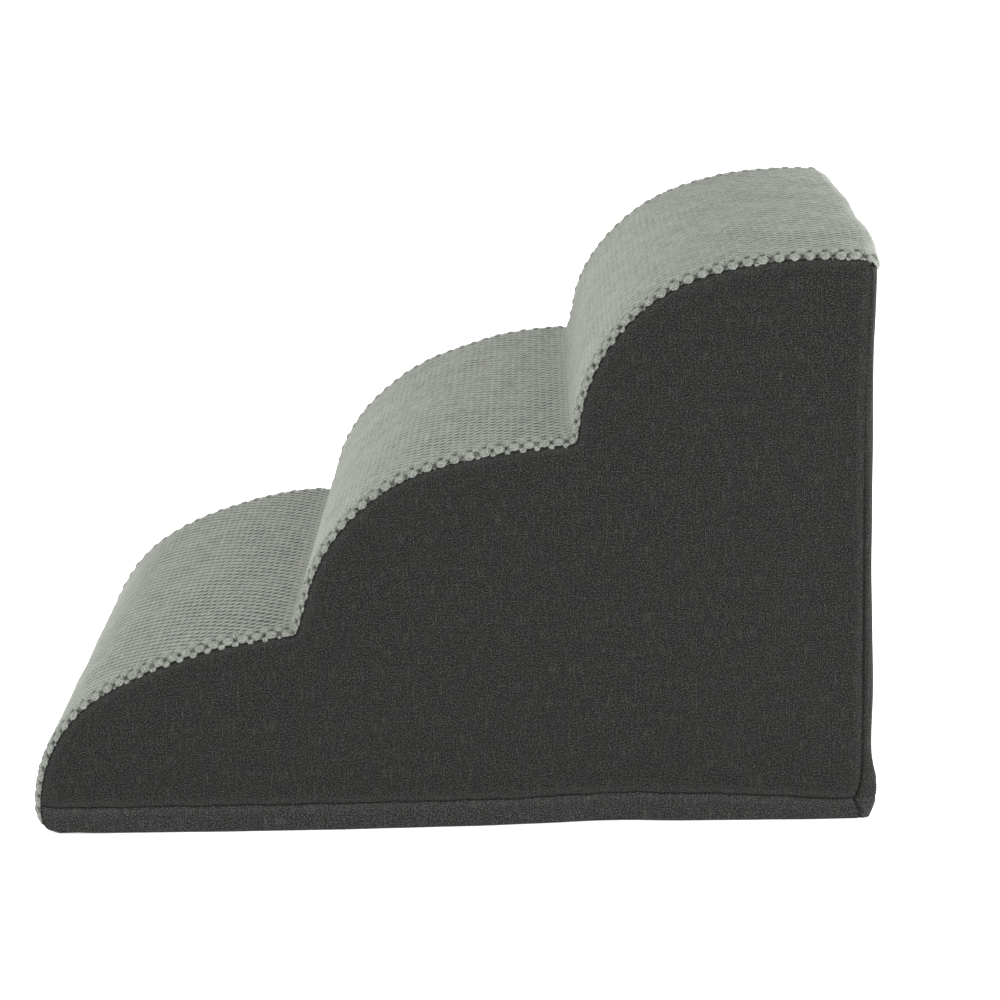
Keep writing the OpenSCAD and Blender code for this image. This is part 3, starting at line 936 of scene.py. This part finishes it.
def back_surface(column, z):
    """Places on the back of the cover, round to the corner seams on the side faces."""
    side = np.sign(column)
    turn = np.clip(np.abs(column) - 1, 0, 1) * math.pi / 2
    flat_y = np.clip(np.abs(column), 0, 1) * CORNER_Y
    seam_x = corner_seam_x(z)
    rear = corner_x(z)
    foot = smoothstep(0, 16 * MM, z) ** 0.5
    rear = rear - 2.0 * MM * (1 - foot)
    ridge = bell(flat_y, CORNER_Y + 1.5 * MM, 4 * MM)
    centre = BACK + 0.2 * MM + 1.8 * MM * smoothstep(0.045, 0.14, z) * (1 - (flat_y / CORNER_Y) ** 4)
    swell = back_swell(flat_y * side) * smoothstep(0.30, 0.392, z) * (1 - (turn / (math.pi / 2)))
    face = centre + (rear - centre) * ridge + swell - 2.5 * MM * (1 - foot) * (1 - ridge)
    puff = 2.2 * MM * bell(z, ZIP_Z, 19 * MM) * bell(turn, 0.6, 0.35)
    x = np.where(turn > 0, seam_x + (rear - seam_x) * np.cos(turn) ** 0.8 + puff, face)
    valley = 1.2 * MM * smoothstep(0.8, 1.0, turn / (math.pi / 2)) * (1 - 0.85 * corner_fade(z))
    floor = 1 - np.clip(z / FLOOR_ROLL, 0, 1)
    roll = FLOOR_DROP * quarter_round(floor)
    out = HALF_WIDTH + 0.2 * MM + side_bow(seam_x, z) - valley - roll - CORNER_Y
    y = np.where(turn > 0, CORNER_Y + out * np.sin(turn) ** 0.9, flat_y)
    hollow = smoothstep(9 * MM, 5 * MM, np.abs(z - ZIP_Z)) * smoothstep(198.5 * MM, 195.2 * MM, y)
    x = x - np.maximum(x - PULL_BACK, 0) * hollow
    return np.stack([x, side * y, z], axis=-1)


def turned_in(row, column, depth, rise=0.0):
    """A row of places moved in behind the cloth, square to it on the flat and round the corners."""
    turn = np.clip(np.abs(column) - 1, 0, 1) * math.pi / 2
    row = row.copy()
    row[:, 0] -= depth * np.cos(turn)
    row[:, 1] -= depth * np.sin(turn) * np.sign(column)
    row[:, 2] += rise
    return row


def back_sheet(name, node, z_low, z_high, share, is_band, material, slot, seed, hem_rise):
    """A cloth sheet on the back between two heights, hemmed beside the zip slot."""
    column = back_columns()
    columns = np.broadcast_to(column, (len(share), len(column)))
    low = np.broadcast_to(z_low(column), columns.shape)
    high = np.broadcast_to(z_high(column), columns.shape)
    z = low + (high - low) * share[:, None]
    zip_side, seam_side = (high, low) if is_band else (low, high)
    places = back_surface(columns, z)
    places[..., 0] += 0.3 * MM * ripple(columns * CORNER_Y, z, 0.08, seed) * smoothstep(0.04, 0.1, z)
    flat = 1 - smoothstep(0.94, 1.03, np.abs(columns))
    seam = np.abs(z - seam_side)
    for distance, width, depth in ((np.abs(z - zip_side), 2.2 * MM, 1.5 * MM), (seam, 4 * MM, 1.6 * MM)):
        places[..., 0] -= depth * flat * quarter_round(1 - np.clip(distance / width, 0, 1))
    steps = np.linalg.norm(np.diff(places, axis=1), axis=2)
    across = np.concatenate([np.zeros((len(share), 1)), np.cumsum(steps, axis=1)], axis=1)
    cloth = np.stack([across - across[:, -1:] / 2, z], axis=-1)
    corner = np.clip(np.abs(columns) - 1, 0, 1)
    # Painted shade: a dark line down the corner seams, fading near the top, and along the sheet's seam-side
    # edge; edge is a painted highlight a little in from that seam and over the rounded back corners.
    corner_seam_shade = smoothstep(0.96, 1.0, corner) * (1 - 0.9 * corner_fade(z))
    edge = bell(seam, 3 * MM, 2.5 * MM) * (1 - corner) + 0.8 * corner * (corner < 0.9)
    groove = np.maximum(corner_seam_shade, 1 - smoothstep(0, 0.8 * MM, seam))
    tucked = slot_closing(column) if is_band else 1.0
    hem = turned_in(places[-1], column, HEM_DEPTH * tucked, hem_rise * tucked)
    before = [grid[:0] for grid in (places, cloth, edge, groove)]
    if is_band:
        under = turned_in(places[0], column, UNDER_DEPTH)
        before = [under[None], cloth[:1] - np.array([0, UNDER_DEPTH]), edge[:1], groove[:1]]
    after = [hem[None], cloth[-1:], edge[-1:], groove[-1:]]
    places, cloth, edge, groove = (np.concatenate(rows) for rows in
                                   zip(before, (places, cloth, edge, groove), after))
    piece = grid_object(name, places, cloth, material, flip=True, edge=edge, groove=groove)
    finish_piece(piece, COVER, slot, node)
    return piece


def slot_closing(column):
    """0 along the zip and 1 past its ends, where the cloth edges come together."""
    y = np.clip(np.abs(column), 0, 1) * CORNER_Y
    return smoothstep(ZIP_HALF + 1.5 * MM, ZIP_HALF + 7 * MM, y)


def zip_opening(column, away):
    """Height of the cloth edge beside the zip, closing to the band seam past the zip's ends."""
    closing = slot_closing(column)
    return (ZIP_Z + away * SLOT_HALF) * (1 - closing) + (CORNER_SEAM_Z + away * 0.3 * MM) * closing


def top_corner_rise(share):
    """How much higher the top back seam runs at a share of the way out to the corners."""
    return TOP_CORNER_RISE * smoothstep(0.93, 1.0, np.abs(share))


def back_panel():
    """The woven back, from the zip up to the plush."""
    share = np.concatenate([[0, 0.0012, 0.003, 0.006, 0.01, 0.015], np.linspace(0.022, 0.985, 78),
                            [0.989, 0.992, 0.995, 0.997, 0.9985, 1.0]])

    def top(column):
        round_corner = np.clip(np.abs(column) - 1, 0, 1)
        return TOP_SEAM_BACK_Z + top_corner_rise(column) + 2.2 * MM * round_corner

    piece = back_sheet("back_panel_cloth", "back_panel", lambda c: zip_opening(c, 1), top, share, False,
                       SIDE_CLOTH, "side_cloth", 21, 2.6 * MM)


def back_band():
    """The band along the foot of the back, from the floor up to the zip."""
    share = np.array([0, 0.06, 0.13, 0.22, 0.33, 0.45, 0.57, 0.68, 0.78, 0.86, 0.92, 0.96, 1.0])

    def floor(column):
        return np.full(np.shape(column), FOOT_GAP)

    piece = back_sheet("base_band_back_cloth", "base_band_back", floor, lambda c: zip_opening(c, -1), share,
                       True, BAND_CLOTH, "band_cloth", 31, 0.9 * MM)


# ---------------------------------------------------------------- seams

def seam_threads():
    """Rows of stitches down in every seam of the cover."""
    s = np.arange(20 * MM, outline.length - 5 * MM, 2 * MM)
    for side, word in ((-1, "right"), (1, "left")):
        line = seam_line(s, side)
        y = np.full(len(s), side * (SEAM_Y + 0.1 * MM))
        path = np.stack([line[:, 0], y, line[:, 1]], axis=1)
        row = stitches("seam_top_" + word, path, THREAD)
        finish_piece(row, COVER, "thread", "thread_top_" + word)

        x = np.arange(FRONT + 1 * MM, BACK - 9 * MM, 2 * MM)
        y = side * (SEAM_Y + 0.1 * MM + side_bow(x, band_seam_z(x)))
        path = np.stack([x, y, band_seam_z(x)], axis=1)
        row = stitches("seam_band_" + word, path, THREAD)
        finish_piece(row, COVER, "thread", "thread_band_" + word)

        z = np.arange(24 * MM, TOP_SEAM_BACK_Z, 2 * MM)
        x = corner_seam_x(z)
        path = np.stack([x, side * (SEAM_Y + 0.1 * MM + side_bow(x, z)), z], axis=1)
        row = stitches("seam_corner_" + word, path, THREAD)
        finish_piece(row, COVER, "thread", "thread_corner_" + word)


def back_seam_threads():
    """Rows of stitches in the seams of the back and round the base cloth."""
    y = np.arange(-CORNER_Y, CORNER_Y, 2 * MM)
    z = TOP_SEAM_BACK_Z + top_corner_rise(y / CORNER_Y)
    x = BACK - 0.4 * MM + back_swell(y)
    row = stitches("seam_top_back", np.stack([x, y, z], axis=1), THREAD)
    finish_piece(row, COVER, "thread", "thread_top_back")

    paths = []
    for side in (-1, 1):
        z = np.arange(2 * MM, 17 * MM, 1.5 * MM)
        x = corner_seam_x(z)
        paths.append(np.stack([x, side * (SEAM_Y + side_bow(x, z)), z], axis=1))
    rows = [stitches("seam_band_corner_%d" % i, p, THREAD) for i, p in enumerate(paths)]
    joined = join_objects(rows, "seam_band_corners")
    finish_piece(joined, COVER, "thread", "thread_band_corners")

    rows = []
    for side in (-1, 1):
        y = side * np.arange(ZIP_HALF + 8 * MM, CORNER_Y, 1.5 * MM)
        z = zip_opening(y / CORNER_Y, 0)
        path = np.stack([np.full(len(y), BACK), y, z], axis=1)
        rows.append(stitches("seam_band_back_%d" % side, path, THREAD))
    joined = join_objects(rows, "seam_band_back")
    finish_piece(joined, COVER, "thread", "thread_band_back")

    inset = 4 * MM
    front = FRONT + FOOT_ROUND
    corners = [(front, -1), (BACK - inset, -1), (BACK - inset, 1), (front, 1), (front, -1)]
    ring = np.array([(x, side * (HALF_WIDTH - inset), 1.6 * MM) for x, side in corners])
    row = stitches("seam_base", ring, THREAD)
    finish_piece(row, COVER, "thread", "thread_base")


def join_objects(objects, name):
    """Joins mesh objects into the first one and gives it a name."""
    bpy.ops.object.select_all(action="DESELECT")
    for item in objects:
        item.select_set(True)
    bpy.context.view_layer.objects.active = objects[0]
    bpy.ops.object.join()
    objects[0].name = name
    objects[0].data.name = name
    return objects[0]


# ---------------------------------------------------------------- foam and underside

def foam_core():
    """The foam block, a little inside the cover, with rounded edges."""
    inset = 2.2 * MM
    step = 7
    line = (outline.places - outline.outward * inset)[::step]
    line = line[(line[:, 1] > 3 * MM) & (line[:, 0] < BACK - 4 * MM)]
    back = BACK - 4.2 * MM
    low = 3 * MM
    loop = np.concatenate([line, [[back, line[-1, 1] - 3 * MM], [back, low], [line[0, 0] + 2 * MM, low]]])
    mesh = bmesh.new()
    half = HALF_WIDTH - 7.0 * MM
    ring = [mesh.verts.new((x, -half, z)) for x, z in loop]
    face = mesh.faces.new(ring)
    pushed = bmesh.ops.extrude_face_region(mesh, geom=[face])
    moved = [v for v in pushed["geom"] if isinstance(v, bmesh.types.BMVert)]
    bmesh.ops.translate(mesh, verts=moved, vec=(0, 2 * half, 0))
    bmesh.ops.recalc_face_normals(mesh, faces=mesh.faces)
    data = bpy.data.meshes.new("foam_block")
    mesh.to_mesh(data)
    mesh.free()
    data.materials.append(FOAM)
    piece = bpy.data.objects.new("foam_block", data)
    bpy.context.scene.collection.objects.link(piece)
    bevel = piece.modifiers.new("edges", "BEVEL")
    bevel.width = 2 * MM
    bevel.segments = 3
    bevel.limit_method = "ANGLE"
    bevel.angle_limit = math.radians(60)
    apply_modifiers(piece)
    finish_piece(piece, COVER, "foam", "foam_core")


def apply_modifiers(piece):
    """Turns the piece's modifiers into its mesh."""
    graph = bpy.context.evaluated_depsgraph_get()
    graph.update()
    data = bpy.data.meshes.new_from_object(piece.evaluated_get(graph))
    piece.modifiers.clear()
    piece.data = data


DOT_PITCH = 12 * MM
DOT_RADIUS = 1.7 * MM
DOT_HEIGHT = 0.5 * MM
DOT_MARGIN = 9 * MM


def grip_dots(low, high, base_z):
    """Vertices and faces of small domed dots on the underside, in staggered rows."""
    turn = np.arange(8) * math.pi / 4
    ring = np.stack([np.cos(turn), np.sin(turn)], axis=1) * DOT_RADIUS
    vertices = []
    faces = []
    rows = int((high[1] - low[1]) / (DOT_PITCH * 0.866))
    for j in range(rows):
        y = low[1] + j * DOT_PITCH * 0.866
        start = low[0] + 0.5 * DOT_PITCH * (j % 2)
        for x in np.arange(start, high[0], DOT_PITCH):
            first = len(vertices)
            for scale, down in ((1.0, 0.0), (0.8, 0.7), (0.35, 1.0)):
                z = base_z - DOT_HEIGHT * down
                vertices.extend((x + p * scale, y + q * scale, z) for p, q in ring)
            for k in range(8):
                n = (k + 1) % 8
                for level in (first, first + 8):
                    faces.append((level + n, level + k, level + 8 + k, level + 8 + n))
            faces.append(tuple(first + 16 + k for k in reversed(range(8))))
    return vertices, faces


def bottom_panel():
    """The base cloth, a closed thin sheet with printed grip dots that touch the floor."""
    under = DOT_HEIGHT
    over = 1.4 * MM
    low = (FRONT + FOOT_ROUND - 3 * MM, -HALF_WIDTH + 2.5 * MM)
    high = (BACK - 2.0 * MM, HALF_WIDTH - 2.5 * MM)
    x = np.linspace(low[0], high[0], 101)
    y = np.linspace(low[1], high[1], 67)
    grid = np.stack(np.meshgrid(x, y, indexing="ij"), axis=-1)
    grid[..., 1] *= 1 + np.minimum(side_bow(x, 0), 0)[:, None] / HALF_WIDTH
    lower = np.concatenate([grid, np.full(grid.shape[:2] + (1,), under)], axis=2)
    upper = lower.copy()
    upper[..., 2] = over + 0.15 * MM * ripple(grid[..., 0], grid[..., 1], 0.05, 41)
    rows, columns = grid.shape[:2]
    count = rows * columns
    index = np.arange(count).reshape(rows, columns)
    edge = list(index[:, 0]) + list(index[-1, 1:]) + list(index[-2::-1, -1]) + list(index[0, -2:0:-1])
    faces = grid_faces(rows, columns, True).tolist() + (grid_faces(rows, columns) + count).tolist()
    faces += [(a, b, b + count, a + count) for a, b in zip(edge, edge[1:] + edge[:1])]
    vertices = np.concatenate([lower.reshape(-1, 3), upper.reshape(-1, 3)])
    cloth = new_object("base_cloth", vertices, faces, BOTTOM)
    first = (low[0] + DOT_MARGIN, low[1] + DOT_MARGIN)
    last = (high[0] - DOT_MARGIN, high[1] - DOT_MARGIN)
    vertices, faces = grip_dots(first, last, under)
    dots = new_object("grip_dots", vertices, faces, GRIP)
    finish_piece(cloth, COVER, "bottom_cloth", "bottom_panel")
    finish_piece(dots, COVER, "bottom_cloth")


# ---------------------------------------------------------------- zip

COIL_PITCH = 1.3 * MM
COIL_WIRE = 0.29 * MM
COIL_OVERLAP = 0.6 * MM     # how far each row of coil reaches past the middle
CORD_RADIUS = 0.6 * MM      # cord inside each row of coil


def zip_tape(word, sign):
    """One woven tape, a thin closed strip with a thicker cord along its inner edge."""
    low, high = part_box("zip_tape_" + word)
    inner = ZIP_Z + sign * 0.15 * MM
    outer = high.z if sign > 0 else low.z
    middle = (low.x + high.x) / 2
    section = []
    share = np.array([0, 0.04, 0.12, 0.2, 0.4, 0.6, 0.8, 0.97, 1.0])
    thick = np.array([0.25, 0.45, 0.4, 0.26, 0.24, 0.24, 0.24, 0.22, 0.1]) * MM
    for t, h in zip(share, thick):
        section.append((middle + h, inner + (outer - inner) * t))
    for t, h in zip(share[::-1], thick[::-1]):
        section.append((middle - h, inner + (outer - inner) * t))
    section = np.array(section)
    y = np.linspace(low.y, high.y, 260)
    wave = 0.12 * MM * np.sin(y / (5 * MM))
    places = np.zeros((len(y), len(section), 3))
    places[..., 0] = section[None, :, 0]
    places[..., 1] = y[:, None]
    outward = np.abs(section[:, 1] - inner) / abs(outer - inner)
    places[..., 2] = section[None, :, 1] + wave[:, None] * outward
    count = len(section)
    faces = []
    for k in range(len(y) - 1):
        for j in range(count):
            n = (j + 1) % count
            quad = (k * count + j, k * count + n, (k + 1) * count + n, (k + 1) * count + j)
            faces.append(quad if sign > 0 else quad[::-1])
    first = tuple(range(count))
    last = tuple((len(y) - 1) * count + j for j in range(count))
    faces.append(first[::-1] if sign > 0 else first)
    faces.append(last if sign > 0 else last[::-1])
    piece = new_object("tape_" + word, places.reshape(-1, 3), faces, TAPE)
    finish_piece(piece, COVER, "zip_nylon", "zip_tape_" + word)


def zip_coil(word, sign):
    """One row of zip coil: a flattened spiral of nylon wire that reaches over to the other row."""
    low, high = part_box("zip_coil_" + word)
    middle_x = (low.x + high.x) / 2
    outer = high.z if sign > 0 else low.z
    reach = abs(outer - ZIP_Z) + COIL_OVERLAP
    middle_z = outer - sign * reach / 2
    half_z = reach / 2 - COIL_WIRE
    half_x = (high.x - low.x) / 2 - COIL_WIRE
    turns = int((high.y - low.y) / COIL_PITCH)
    angle = np.arange(turns * 12 + 1) * math.pi / 6
    shift = 0.0 if sign > 0 else COIL_PITCH / 2
    y = low.y + (high.y - low.y - COIL_PITCH) * angle / angle[-1] + shift
    squash = np.sign(np.cos(angle)) * np.abs(np.cos(angle)) ** 0.7
    path = np.stack([middle_x + half_x * np.sin(angle), y, middle_z + sign * half_z * squash], axis=1)
    cord_y = np.linspace(low.y, high.y, 60)
    cord = np.stack([np.full(60, middle_x), cord_y, np.full(60, outer - sign * 1.5 * MM)], axis=1)
    vertices, faces = tubes([path, cord], [np.full(len(path), COIL_WIRE), np.full(60, CORD_RADIUS)], 6)
    piece = new_object("coil_" + word, vertices, faces, COIL)
    finish_piece(piece, COVER, "zip_nylon", "zip_coil_" + word)


def zip_topstitch(word):
    """The row of stitches that holds the cloth to the tape."""
    low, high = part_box("zip_stitch_" + word)
    y = np.arange(low.y, high.y, 2 * MM)
    z = (low.z + high.z) / 2 + 0.15 * MM * np.sin(y / (11 * MM))
    path = np.stack([np.full(len(y), BACK + 0.15 * MM), y, z], axis=1)
    row = stitches("topstitch_" + word, path, THREAD, length=2.9 * MM, gap=0.8 * MM, radius=0.33 * MM)
    finish_piece(row, COVER, "thread", "zip_stitch_" + word)


def softened(node, name, body, slot, material, width):
    """A copy of a CAD node with its hard edges rounded off."""
    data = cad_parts[node].data.copy()
    data.name = name
    mesh = bmesh.new()
    mesh.from_mesh(data)
    bmesh.ops.remove_doubles(mesh, verts=mesh.verts, dist=0.002 * MM)
    bmesh.ops.dissolve_limit(mesh, angle_limit=math.radians(1), verts=mesh.verts, edges=mesh.edges)
    mesh.to_mesh(data)
    mesh.free()
    data.materials.clear()
    data.materials.append(material)
    piece = bpy.data.objects.new(name, data)
    bpy.context.scene.collection.objects.link(piece)
    bevel = piece.modifiers.new("edges", "BEVEL")
    bevel.width = width
    bevel.segments = 2
    bevel.limit_method = "ANGLE"
    bevel.angle_limit = math.radians(40)
    apply_modifiers(piece)
    piece.data.polygons.foreach_set("use_smooth", [True] * len(piece.data.polygons))
    piece.data.set_sharp_from_angle(angle=math.radians(35))
    finish_piece(piece, body, slot, node)
    return piece


def zip_pieces():
    for word, sign in (("upper", 1), ("lower", -1)):
        zip_tape(word, sign)
        zip_coil(word, sign)
        zip_topstitch(word)
    softened("zip_top_stops", "top_stops", COVER, "zip_metal", METAL, 0.25 * MM)
    softened("zip_bottom_stop", "bottom_stop", COVER, "zip_metal", METAL, 0.25 * MM)
    softened("zip_slider", "slider_body", "zip_slider", "zip_metal", METAL, 0.22 * MM)
    softened("zip_pull", "pull_tab", "zip_pull", "zip_metal", METAL, 0.25 * MM)


# ---------------------------------------------------------------- stage

def floor():
    """A plain pale floor, evenly bright like a studio sweep."""
    m = Shader("floor")
    tone = m.noise(m.place(), 1.5, 2.0)
    color = m.mix(tone, (0.92, 0.92, 0.92, 1), (0.95, 0.95, 0.95, 1))
    m.surface.inputs["Emission Color"].default_value = (1, 1, 1, 1)
    m.surface.inputs["Emission Strength"].default_value = 0.6
    m.finish(color, 0.9, Specular_IOR_Level=0.0)
    size = 30
    corners = [(-size, -size, 0), (size, -size, 0), (size, size, 0), (-size, size, 0)]
    new_object("floor", corners, [(0, 1, 2, 3)], m.material, smooth=False)


def area_light(name, place, aim, size, power, color=(1, 1, 1)):
    data = bpy.data.lights.new(name, "AREA")
    data.shape = "RECTANGLE"
    data.size = size[0]
    data.size_y = size[1]
    data.energy = power
    data.color = color
    light = bpy.data.objects.new(name, data)
    light.location = place
    light.rotation_euler = (Vector(aim) - Vector(place)).to_track_quat("-Z", "Y").to_euler()
    bpy.context.scene.collection.objects.link(light)


def lights():
    world = bpy.data.worlds.new("studio")
    world.use_nodes = True
    background = world.node_tree.nodes["Background"]
    background.inputs["Color"].default_value = (1, 1, 1, 1)
    background.inputs["Strength"].default_value = 1.0
    bpy.context.scene.world = world
    area_light("key", (-2.4, -1.6, 1.9), (0, 0, 0.2), (1.6, 1.6), 34)
    area_light("top", (-0.9, -0.4, 2.4), (-0.05, 0, 0.2), (1.6, 1.6), 36)
    area_light("rear", (2.6, -0.6, 0.35), (0.3, -0.1, 0.15), (1.8, 1.2), 118)
    bpy.context.scene.view_settings.view_transform = "Standard"


top_panel()
for side, word in ((-1, "right"), (1, "left")):
    side_panel(side, "side_panel_%s_cloth" % word, "side_panel_" + word)
    side_band(side, "base_band_%s_cloth" % word, "base_band_" + word)
back_panel()
back_band()
seam_threads()
back_seam_threads()
foam_core()
bottom_panel()
zip_pieces()
floor()
lights()
